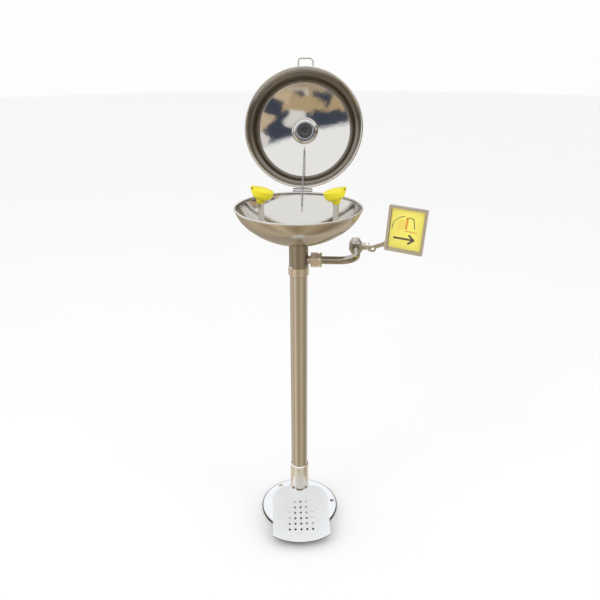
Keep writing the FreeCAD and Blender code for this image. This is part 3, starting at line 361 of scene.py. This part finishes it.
MATS = {
    "brushed_steel": steel("brushed_steel", (0.68, 0.65, 0.61), (0.50, 0.47, 0.44), (0.16, 0.26)),
    "fitting_steel": steel("fitting_steel", (0.76, 0.71, 0.65), (0.56, 0.52, 0.48), (0.18, 0.30),
                           grain=(0.03, 0.03, 1)),
    "tee_steel": steel("tee_steel", (0.40, 0.37, 0.32), (0.26, 0.24, 0.21), (0.20, 0.32),
                       grain=(0.03, 0.03, 1)),
    "pipe_steel": steel("pipe_steel", (0.48, 0.45, 0.39), (0.30, 0.28, 0.25), (0.12, 0.22), grain=(1, 1, 1)),
    "socket_steel": steel("socket_steel", (0.96, 0.93, 0.88), (0.78, 0.74, 0.68), (0.20, 0.32),
                          grain=(0.03, 0.03, 1)),
    "polished_steel": steel("polished_steel", (0.80, 0.79, 0.77), (0.62, 0.61, 0.60), (0.10, 0.20)),
    "bright_nut": steel("bright_nut", (0.97, 0.95, 0.91), (0.80, 0.78, 0.74), (0.10, 0.22)),
    "cast_steel": steel("cast_steel", (0.66, 0.63, 0.58), (0.46, 0.43, 0.40), (0.22, 0.36),
                        grain=(1, 1, 1), grain_scale=420, grain_depth=0.00008),
    "plate_steel": steel("plate_steel", (0.74, 0.73, 0.71), (0.55, 0.54, 0.53), (0.16, 0.28),
                         grain=(1, 1, 0.03)),
    "bowl_outside": steel("bowl_outside", (0.56, 0.51, 0.43), (0.34, 0.31, 0.26), (0.13, 0.24), spun=True,
                          contrast=0.3),
    "bowl_inside": steel("bowl_inside", (0.74, 0.72, 0.68), (0.62, 0.60, 0.57), (0.07, 0.15), spun=True,
                         wave=0.0006, smudge_scale=20),
    "lid_outside": steel("lid_outside", (0.66, 0.62, 0.56), (0.48, 0.44, 0.40), (0.18, 0.30), spun=True,
                         turn=CLOSED),
    # The lid's inner walls: a brushed finish, rougher than the dome, and a much darker tone, which is
    # painted shade on the same sheet.
    "lid_wall_shaded": steel("lid_wall_shaded", (0.27, 0.24, 0.20), (0.14, 0.125, 0.105), (0.16, 0.28), spun=True,
                      turn=CLOSED, contrast=0.3),
    "lid_inside": steel("lid_inside", (0.80, 0.78, 0.75), (0.66, 0.64, 0.61), (0.05, 0.12), spun=True,
                        turn=CLOSED, wave=0.0006, smudge_scale=20),
    "rim_steel": steel("rim_steel", (0.80, 0.78, 0.75), (0.60, 0.58, 0.56), (0.10, 0.20), grain=(1, 1, 1)),
    "pedal_steel": steel("pedal_steel", (0.90, 0.93, 0.96), (0.66, 0.69, 0.74), (0.20, 0.32),
                         grain=(0.5, 1, 1), grain_scale=300, grain_depth=0.00001, wave=0.0003,
                         smudge_scale=40, contrast=0.25, metallic=0.45),
    "flange_steel": steel("flange_steel", (0.92, 0.94, 0.97), (0.74, 0.77, 0.82), (0.10, 0.22),
                          grain=(1, 1, 1), grain_depth=0.00001, wave=0.0003),
    "chain_steel": steel("chain_steel", (0.62, 0.62, 0.66), (0.26, 0.26, 0.29), (0.15, 0.28),
                         grain=(1, 1, 1)),
    "dark_metal": steel("dark_metal", (0.12, 0.12, 0.13), (0.05, 0.05, 0.06), (0.25, 0.42), grain=(1, 1, 1)),
    "yellow_plastic": plastic("yellow_plastic", (0.97, 0.86, 0.03), (0.90, 0.76, 0.02)),
    "white_plastic": plastic("white_plastic", (0.85, 0.85, 0.82), (0.76, 0.76, 0.73)),
    "label_yellow": plastic("label_yellow", (0.98, 0.88, 0.18), (0.95, 0.83, 0.14), (0.3, 0.5)),
    "label_dark": plastic("label_dark", (0.16, 0.13, 0.10), (0.10, 0.08, 0.06), (0.3, 0.5)),
    "label_orange": plastic("label_orange", (0.85, 0.35, 0.06), (0.78, 0.28, 0.04), (0.3, 0.5)),
    "black_rubber": rubber("black_rubber", (0.02, 0.02, 0.02)),
}

NODE_MATS = {
    "brushed_steel": ("post", "riser_tube", "water_manifold", "nozzle_yoke", "pedal_bracket",
                      "foot_valve_outlet"),
    "pipe_steel": ("side_pipe",),
    "fitting_steel": ("upper_collar",),
    "tee_steel": ("upper_tee",),
    "socket_steel": ("lower_fitting",),
    "bright_nut": ("union_nut", "stem_packing_nut", "lever_nut", "plate_rivets", "hinge_rivets_bowl",
                   "hinge_rivets_lid", "hinge_pin", "pedal_pins", "foot_valve_screws", "plunger_spring",
                   "plunger", "chain_eye_lid", "chain_eye_bowl", "drain_strainer"),
    "cast_steel": ("valve_body", "valve_end_cap", "foot_valve_body"),
    "plate_steel": ("push_plate", "handle_lever", "hinge_leaf_bowl", "hinge_leaf_lid"),
    "polished_steel": ("valve_ball", "valve_stem", "lid_handle"),
    "rim_steel": ("bowl", "bowl_wall", "lid", "check_chain"),
    "pedal_steel": ("foot_pedal",),
    "flange_steel": ("base_flange",),
    "dark_metal": ("lid_plug", "cap_pins"),
    "yellow_plastic": ("nozzle_left", "nozzle_right", "dust_cap_left", "dust_cap_right"),
    "white_plastic": ("ball_seats", "spray_head_left", "spray_head_right"),
    "black_rubber": ("union_gasket", "drain_gasket"),
    "label_yellow": ("push_label",),
}
# Painted shade: the pedal's underside gets a near-black colour so the holes through it look dark.
paint_underside_shade(MATS["pedal_steel"], (0.05, 0.05, 0.05))
# Painted reflection: a thin dark ring on the flange near its rounded edge.
paint_edge_reflection(MATS["flange_steel"], 0.1012, 0.1030, (0.10, 0.095, 0.09))
for mat_name, nodes in NODE_MATS.items():
    for node in nodes:
        for slot in NODES[node].material_slots:
            slot.material = MATS[mat_name]


# ---------------------------------------------------------------- bowl and lid
RIM_R = 0.1475              # outside of both rolled rims
RIM_Z = 0.863               # top of the bowl's rim
BOWL_LOW = 0.775
BOWL_HOLE = 0.0197          # radius of the drain hole
BOWL_SIDE_R = 0.090         # upper arc of the bowl's side
BOWL_SIDE_LEAN = 20         # degrees below that arc's centre where it meets the rim
RIM_INSET = 0.001           # the sheet meets the bead this far inside its edge

LID_PLANE = 0.8636          # under the closed lid's rim
WALL_HIGH = 0.024           # first step of the lid
WALL_IN = 0.009
STEP_IN = 0.015
NECK_HIGH = 0.022           # second step
NECK_IN = 0.025
DOME_IN = 0.030
DOME_RISE = 0.020
LID_HOLE_R = 0.004          # for the plug
BOSS_R = 0.032              # where the boss starts on the dome
BOSS_DEEP = 0.004
DOME_EDGE_R = 0.1165        # inner faces outside this radius are walls
CORNERS = [0.003, 0.003, 0.004, 0.003, 0.001, 0.001]


def bowl_surface(inset):
    """One face of the bowl's sheet from the drain hole to the rim, as (r, z)."""
    tilt = math.radians(BOWL_SIDE_LEAN)
    side = (RIM_R - RIM_INSET - BOWL_SIDE_R * math.cos(tilt), RIM_Z - BEAD + BOWL_SIDE_R * math.sin(tilt))
    rise = side[1] - BOWL_LOW
    low_r = (side[0] ** 2 + rise ** 2 - BOWL_SIDE_R ** 2) / (2 * (rise - BOWL_SIDE_R))
    meet = math.degrees(math.atan2(side[1] - BOWL_LOW - low_r, side[0]))
    first = math.degrees(math.asin(BOWL_HOLE / (low_r - inset))) - 90
    low = arc((0, BOWL_LOW + low_r), low_r - inset, first, meet, 26)
    return low + arc(side, BOWL_SIDE_R - inset, meet, -BOWL_SIDE_LEAN, 22)[1:]


def rounded(points, radii, count=5):
    """Replaces the inner corners of an open (r, z) line with small curves."""
    out = [points[0]]
    for k in range(1, len(points) - 1):
        corner = Vector(points[k])
        before = (Vector(points[k - 1]) - corner)
        after = (Vector(points[k + 1]) - corner)
        reach = min(radii[k - 1], before.length * 0.48, after.length * 0.48)
        a = corner + before.normalized() * reach
        b = corner + after.normalized() * reach
        for i in range(count):
            t = i / (count - 1)
            out.append(tuple((1 - t) ** 2 * a + 2 * t * (1 - t) * corner + t ** 2 * b))
    out.append(points[-1])
    return out


def make_bowl():
    outer = bowl_surface(0)
    bead = arc((RIM_R - BEAD / 2, RIM_Z - BEAD / 2), BEAD / 2, -50, 235, 20)
    inner = list(reversed(bowl_surface(SHEET)[:-1]))
    profile = outer + bead + inner
    slots = [0] * len(outer) + [2] * len(bead) + [1] * len(inner)
    bm = bmesh.new()
    spin_profile(bm, profile, steps=256, slots=slots)
    finishes = [MATS["bowl_outside"], MATS["bowl_inside"], MATS["rim_steel"]]
    new_object("bowl_shell", finish_mesh("bowl_shell", bm, crease=50), "stand", "bowl", "bowl_wall",
               slot="bowl_steel", materials=finishes)


def lid_surface(inset):
    """One face of the closed lid from its rim to the edge of the boss, as (r, z)."""
    r = RIM_R - RIM_INSET - inset
    wall_top = LID_PLANE + WALL_HIGH - inset
    neck_top = wall_top + NECK_HIGH
    edge = r - DOME_IN
    line = [(r, LID_PLANE + BEAD / 2), (r - WALL_IN, wall_top), (r - STEP_IN, wall_top),
            (r - NECK_IN, neck_top), (edge, neck_top)]
    dome_r = (edge ** 2 + DOME_RISE ** 2) / (2 * DOME_RISE)
    centre = (0, neck_top + DOME_RISE - dome_r)
    start = math.degrees(math.acos(edge / dome_r))
    return line, centre, dome_r, start


def make_lid():
    line, centre, dome_r, start = lid_surface(0)
    stop = math.degrees(math.acos(LID_HOLE_R / dome_r))
    dome = arc(centre, dome_r, start, stop, 40)
    outer = rounded(line + dome[1:4], CORNERS) + dome[4:]
    line, centre, dome_r, start = lid_surface(SHEET)
    stop = math.degrees(math.acos(BOSS_R / dome_r))
    dome = arc(centre, dome_r, start, stop, 34)
    inner = rounded(line + dome[1:4], CORNERS) + dome[4:]
    crown = centre[1] + dome_r
    low = crown - BOSS_DEEP
    boss = rounded([inner[-1], (0.0305, crown - 0.0022), (0.0275, low), (0.0215, low), (0.0190, low),
                    (0.0190, crown), (LID_HOLE_R, crown)], [0.003, 0.003, 0.001, 0.001, 0.0004])
    bead = arc((RIM_R - BEAD / 2, LID_PLANE + BEAD / 2), BEAD / 2, 79, -235, 22)
    outer_down = list(reversed(outer))[:-1]
    inner_up = (inner + boss[1:])[1:]
    walls = sum(1 for radius, height in inner_up if radius > DOME_EDGE_R)
    slots = [0] * len(outer_down) + [2] * len(bead) + [3] * walls + [1] * (len(inner_up) - walls)
    bm = bmesh.new()
    spin_profile(bm, outer_down + bead + inner_up, steps=256, place=OPENED, slots=slots)
    finishes = [MATS["lid_outside"], MATS["lid_inside"], MATS["rim_steel"], MATS["lid_wall_shaded"]]
    new_object("lid_shell", finish_mesh("lid_shell", bm, crease=50), "lid", "lid", slot="lid_steel",
               materials=finishes)


make_bowl()
make_lid()


# ---------------------------------------------------------------- push plate's label
PLATE_CORNER = (0.205, 0.076, 0.737)
PLATE_SWING = -18           # degrees about the upright axis
PLATE_LEAN = 4              # degrees in its own plane
PLATE = (Matrix.Translation(PLATE_CORNER) @ Matrix.Rotation(math.radians(PLATE_SWING), 4, "Z")
         @ Matrix.Rotation(math.radians(PLATE_LEAN), 4, "Y"))
LABEL_FACE = 0.0071         # the label's front, measured through the plate


def around(centre, radius, angles):
    """Points on a circle at the given angles in degrees."""
    return [(centre[0] + radius * math.cos(math.radians(a)), centre[1] + radius * math.sin(math.radians(a)))
            for a in angles]


def stroke(bm, points, width, thick=0.0002):
    """A flat printed line on the label, in millimetres across it, with round ends and joints."""
    def put(u, v, depth):
        return bm.verts.new(PLATE @ Vector((u * MM, LABEL_FACE - depth, v * MM)))

    def slab(outline):
        front = [put(u, v, thick) for u, v in outline]
        back = [put(u, v, 0.0) for u, v in outline]
        bm.faces.new(front)
        bm.faces.new(list(reversed(back)))
        for k in range(len(outline)):
            n = (k + 1) % len(outline)
            bm.faces.new([front[n], front[k], back[k], back[n]])

    for (u0, v0), (u1, v1) in zip(points, points[1:]):
        run = Vector((u1 - u0, v1 - v0))
        side = Vector((-run.y, run.x)).normalized() * width / 2
        slab([(u0 + side.x, v0 + side.y), (u0 - side.x, v0 - side.y), (u1 - side.x, v1 - side.y),
              (u1 + side.x, v1 + side.y)])
    for u, v in points:
        slab(around((u, v), width / 2, range(0, 360, 20)))


def label_marks():
    """A plain pictogram: an arm that swings, a plate with spray beside it, and an arrow."""
    bm = bmesh.new()
    stroke(bm, around((45, 57), 33, range(100, 186, 6)), 1.6)
    stroke(bm, [(50, 88), (62, 86), (67, 62)], 2.0)
    stroke(bm, [(20, 34), (62, 34)], 5.0)
    stroke(bm, [(56, 44), (68, 34), (56, 24)], 5.0)
    new_object("label_marks_dark", finish_mesh("label_marks_dark", bm, smooth=False), "push_handle",
               slot="label_yellow", materials=[MATS["label_dark"]])
    bm = bmesh.new()
    stroke(bm, [(47, 86), (46, 60)], 5.0)
    stroke(bm, [(46, 54), (72, 53)], 2.2)
    for v0, v1 in ((82, 79), (76, 74), (70, 70), (64, 66), (58, 62)):
        stroke(bm, [(24, v0 - 6), (42, v1)], 0.8)
    new_object("label_marks_orange", finish_mesh("label_marks_orange", bm, smooth=False), "push_handle",
               slot="label_yellow", materials=[MATS["label_orange"]])


label_marks()


# ---------------------------------------------------------------- foot valve's spring
SPRING_WIRE = 0.0014
SPRING_TURNS = 5
SPRING_STEPS = 28           # points in each turn


def make_spring():
    """The plunger's return spring, a helix of wire that fills the spring's box."""
    low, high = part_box("plunger_spring")
    middle = (low + high) / 2
    radius = (high.x - low.x) / 2 - SPRING_WIRE / 2
    bottom, top = low.z + SPRING_WIRE / 2, high.z - SPRING_WIRE / 2
    count = SPRING_TURNS * SPRING_STEPS
    points = []
    for k in range(count + 1):
        a = 2 * math.pi * k / SPRING_STEPS
        height = bottom + (top - bottom) * k / count
        points.append(Vector((middle.x + radius * math.cos(a), middle.y + radius * math.sin(a), height)))
    bm = bmesh.new()
    tube(bm, points, SPRING_WIRE / 2, sides=8)
    piece = new_object("spring_wire", finish_mesh("spring_wire", bm, crease=60), None, "plunger_spring",
                       slot="bright_nut", materials=[MATS["bright_nut"]])
    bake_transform(piece)


make_spring()


# ---------------------------------------------------------------- check chain
def link_mesh(bm, centre, along, side, length, width, wire):
    """One oval link of round wire."""
    points = []
    straight = (length - width) / 2
    radius = (width - wire) / 2
    for k in range(20):
        a = 2 * math.pi * k / 20
        x = math.cos(a) * radius + (straight if math.cos(a) > 0 else -straight)
        points.append(centre + along * x + side * (math.sin(a) * radius))
    tube(bm, points, wire / 2, sides=8, closed=True)


def resample(points, pitch):
    """Points at an even pitch along a polyline."""
    out = [points[0].copy()]
    need = pitch
    for a, b in zip(points, points[1:]):
        run = (b - a).length
        done = 0.0
        while run - done >= need:
            done += need
            out.append(a.lerp(b, done / run))
            need = pitch
        need -= run - done
    return out


def catmull(points, per=24):
    """A smooth curve through the points."""
    ends = [2 * points[0] - points[1]] + points + [2 * points[-1] - points[-2]]
    out = []
    for i in range(1, len(ends) - 2):
        p0, p1, p2, p3 = ends[i - 1:i + 3]
        for k in range(per):
            t = k / per
            out.append(0.5 * (2 * p1 + (p2 - p0) * t + (2 * p0 - 5 * p1 + 4 * p2 - p3) * t * t
                              + (3 * p1 - p0 - 3 * p2 + p3) * t ** 3))
    out.append(points[-1])
    return out


LINK_LONG = 0.0088
LINK_WIDE = 0.0050
LINK_WIRE = 0.0013
LINK_PITCH = 0.0062
EDGE_GAP = 0.0062           # from the chain's middle to the middle of each rolled rim that it passes
EYE_OFF_AXIS = 0.044        # the upper eye, from the closed lid's axis


def upper_eye():
    """The eye inside the open lid that holds the chain."""
    line, centre, dome_r, start = lid_surface(SHEET)
    height = centre[1] + math.sqrt(dome_r ** 2 - EYE_OFF_AXIS ** 2) - 0.006
    return OPENED @ Vector((0, EYE_OFF_AXIS, height))


def make_chain():
    bowl_lo, bowl_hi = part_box("chain_eye_bowl")
    chain_lo, chain_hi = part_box("check_chain")
    inward = Vector((0, -0.33, 0.944))      # up and forward, inside the open lid's rim
    lip = OPENED @ Vector((0, RIM_R - BEAD / 2, LID_PLANE + BEAD / 2)) + inward * EDGE_GAP
    rim = Vector((0, RIM_R - BEAD / 2 - EDGE_GAP, RIM_Z - BEAD / 2))
    top = Vector((0, upper_eye().y - 0.001, chain_hi.z))
    low = Vector((0, bowl_lo.y + 0.0045, chain_lo.z))
    path = resample(catmull([top, lip, rim, low]), LINK_PITCH)
    bm = bmesh.new()
    for k, (a, b) in enumerate(zip(path, path[1:])):
        along = (b - a).normalized()
        across = Vector((1, 0, 0))
        other = along.cross(across).normalized()
        side = (across + other).normalized() if k % 2 else (across - other).normalized()
        link_mesh(bm, (a + b) / 2, along, side, LINK_LONG, LINK_WIDE, LINK_WIRE)
    piece = new_object("chain_links", finish_mesh("chain_links", bm, crease=80), None, "check_chain",
                       slot="chain_steel", materials=[MATS["chain_steel"]])
    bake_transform(piece)


make_chain()


# ---------------------------------------------------------------- camera, light, stage
CAMERA_PLACE = (0.095, -1.3945, 1.226)
CAMERA_TURN = (-3.776, 23.10, -0.188)   # yaw, pitch down and roll, in degrees
CAMERA_LENS = 37.418


def camera():
    data = bpy.data.cameras.new("camera")
    data.sensor_width = 36
    data.lens = CAMERA_LENS
    data.clip_end = 50
    cam = bpy.data.objects.new("camera", data)
    yaw, pitch, roll = (math.radians(v) for v in CAMERA_TURN)
    look = Vector((math.sin(yaw) * math.cos(pitch), math.cos(yaw) * math.cos(pitch), -math.sin(pitch)))
    right = Vector((math.cos(yaw), -math.sin(yaw), 0))
    up = right.cross(look)
    x_axis = math.cos(roll) * right + math.sin(roll) * up
    y_axis = -math.sin(roll) * right + math.cos(roll) * up
    turn = Matrix((x_axis, y_axis, -look)).transposed().to_4x4()
    cam.matrix_world = Matrix.Translation(CAMERA_PLACE) @ turn
    bpy.context.scene.collection.objects.link(cam)
    bpy.context.scene.camera = cam


def area(name, place, target, size, power, colour=(1, 1, 1)):
    data = bpy.data.lights.new(name, "AREA")
    data.shape = "RECTANGLE"
    data.size, data.size_y = size
    data.energy = power
    data.color = colour
    lamp = bpy.data.objects.new(name, data)
    lamp.location = place
    lamp.visible_glossy = False
    lamp.rotation_euler = (Vector(target) - Vector(place)).to_track_quat("-Z", "Y").to_euler()
    bpy.context.scene.collection.objects.link(lamp)


WALL_TONES = [(0.0, (0.05, 0.06, 0.09)), (0.22, (0.50, 0.38, 0.22)), (0.42, (0.10, 0.12, 0.17)),
              (0.58, (0.62, 0.50, 0.34)), (0.72, (0.22, 0.20, 0.18)), (0.84, (0.80, 0.78, 0.74))]
YARD_TONES = [(0.0, (0.40, 0.31, 0.19)), (0.07, (0.52, 0.44, 0.32)), (0.13, (0.88, 0.76, 0.57)),
              (0.20, (0.50, 0.42, 0.32)), (0.29, (0.74, 0.65, 0.52)), (0.42, (0.45, 0.40, 0.33)),
              (0.56, (0.60, 0.53, 0.43)), (0.63, (0.74, 0.68, 0.58)), (0.75, (0.30, 0.24, 0.16)),
              (0.84, (0.52, 0.43, 0.31)), (0.91, (0.62, 0.53, 0.38)), (1.0, (0.40, 0.31, 0.19))]


def world():
    """White all round. The steel mirrors a plain workshop: pale sky, beige and dark walls, a brown yard."""
    scene_world = bpy.data.worlds.new("studio")
    bpy.context.scene.world = scene_world
    scene_world.use_nodes = True
    tree = Tree(scene_world.node_tree)
    nodes = scene_world.node_tree.nodes
    direction = tree.add("ShaderNodeTexCoord").outputs["Generated"]
    parts = tree.add("ShaderNodeSeparateXYZ")
    tree.link(direction, parts.inputs[0])
    height = tree.maths("MULTIPLY_ADD", parts.outputs[2], 0.5)
    lean = tree.maths("MULTIPLY_ADD", parts.outputs[0], -0.14)
    bearing = tree.maths("ARCTAN2", parts.outputs[0], parts.outputs[1])
    compass = tree.maths("MULTIPLY_ADD", bearing, 0.5 / math.pi)
    behind = tree.maths("MULTIPLY_ADD", tree.maths("MAXIMUM", parts.outputs[1], 0.0), 0.09)
    tree.link(lean, behind.node.inputs[2])
    for maths_node in (height.node, compass.node):
        maths_node.inputs[2].default_value = 0.5
    tree.link(height, lean.node.inputs[2])
    cells = tree.add("ShaderNodeTexVoronoi")
    cells.distance = "CHEBYCHEV"
    cells.inputs["Scale"].default_value = 4.6
    cells.inputs["Randomness"].default_value = 0.85
    ripple = tree.add("ShaderNodeTexNoise")
    ripple.inputs["Scale"].default_value = 5.0
    ripple.inputs["Detail"].default_value = 4.0
    tree.link(direction, ripple.inputs["Vector"])
    moved = tree.add("ShaderNodeVectorMath")
    moved.operation = "MULTIPLY_ADD"
    moved.inputs[1].default_value = (0.22, 0.22, 0.22)
    tree.link(ripple.outputs["Color"], moved.inputs[0])
    tree.link(direction, moved.inputs[2])
    tree.link(moved.outputs[0], cells.inputs["Vector"])
    pick = tree.add("ShaderNodeSeparateColor")
    tree.link(cells.outputs["Color"], pick.inputs[0])
    walls = tree.ramp(pick.outputs[0], WALL_TONES)
    walls.node.color_ramp.interpolation = "CONSTANT"
    yard = tree.ramp(compass, YARD_TONES)
    wall_mask = tree.ramp(height, [(0.40, (0, 0, 0)), (0.46, (1, 1, 1))])
    sky_mask = tree.ramp(behind, [(0.69, (0, 0, 0)), (0.72, (1, 1, 1))])
    seen = tree.mix(wall_mask, yard, walls)
    seen = tree.mix(sky_mask, seen, (0.98, 0.99, 1.0))
    studio = nodes["Background"]
    tree.link(seen, studio.inputs["Color"])
    white = tree.add("ShaderNodeBackground")
    white.inputs["Color"].default_value = (0.985, 0.985, 0.985, 1)
    path = tree.add("ShaderNodeLightPath")
    choose = tree.add("ShaderNodeMixShader")
    tree.link(path.outputs["Is Glossy Ray"], choose.inputs[0])
    tree.link(white.outputs[0], choose.inputs[1])
    tree.link(studio.outputs[0], choose.inputs[2])
    tree.link(choose.outputs[0], nodes["World Output"].inputs["Surface"])


def floor():
    bm = bmesh.new()
    bmesh.ops.create_circle(bm, cap_ends=True, segments=96, radius=14.0)
    data = bpy.data.meshes.new("floor")
    bm.to_mesh(data)
    bm.free()
    plane = bpy.data.objects.new("floor", data)
    bpy.context.scene.collection.objects.link(plane)
    mat, tree, shader, coords = material("floor")
    cloud = tree.noise(coords, 3.0, 3.0)
    tree.link(tree.mix(cloud, (0.965, 0.965, 0.965), (0.945, 0.945, 0.945)), shader.inputs["Base Color"])
    shader.inputs["Roughness"].default_value = 0.7
    data.materials.append(mat)
    plane.visible_glossy = False
    plane.visible_shadow = False


BOLT_COUNT = 3
BOLT_RING_R = 0.0925
BOLT_FIRST = 16             # degrees, with the base's own 6
FLOOR_HOLE_R = 0.0059
FLOOR_HOLE_Z = 0.0004


def floor_hole_shadows():
    """Painted shadow: near-black discs on the floor at the drilled holes that wait for the floor bolts, seen
    through the flange; their dark colour stands for the shade inside the holes.
    """
    bm = bmesh.new()
    for k in range(BOLT_COUNT):
        a = math.radians(BOLT_FIRST + 360 / BOLT_COUNT * k)
        place = Matrix.Translation((BOLT_RING_R * math.cos(a), BOLT_RING_R * math.sin(a), FLOOR_HOLE_Z))
        bmesh.ops.create_circle(bm, cap_ends=True, segments=32, radius=FLOOR_HOLE_R, matrix=place)
    data = bpy.data.meshes.new("floor_hole_shadows")
    bm.to_mesh(data)
    bm.free()
    hole_shadows = bpy.data.objects.new("floor_hole_shadows", data)
    bpy.context.scene.collection.objects.link(hole_shadows)
    mat, tree, shader, coords = material("floor_hole_shadows")
    tree.link(tree.mix(tree.noise(coords, 400.0, 3.0), (0.010, 0.010, 0.010), (0.020, 0.020, 0.020)),
              shader.inputs["Base Color"])
    shader.inputs["Roughness"].default_value = 0.9
    data.materials.append(mat)


camera()
world()
floor()
floor_hole_shadows()
area("key", (-1.5, -1.3, 2.7), (0, 0, 0.7), (1.2, 1.2), 9)
area("fill", (1.9, -0.9, 2.2), (0, 0, 0.6), (1.0, 1.4), 5)
bpy.context.scene.view_settings.view_transform = "Standard"
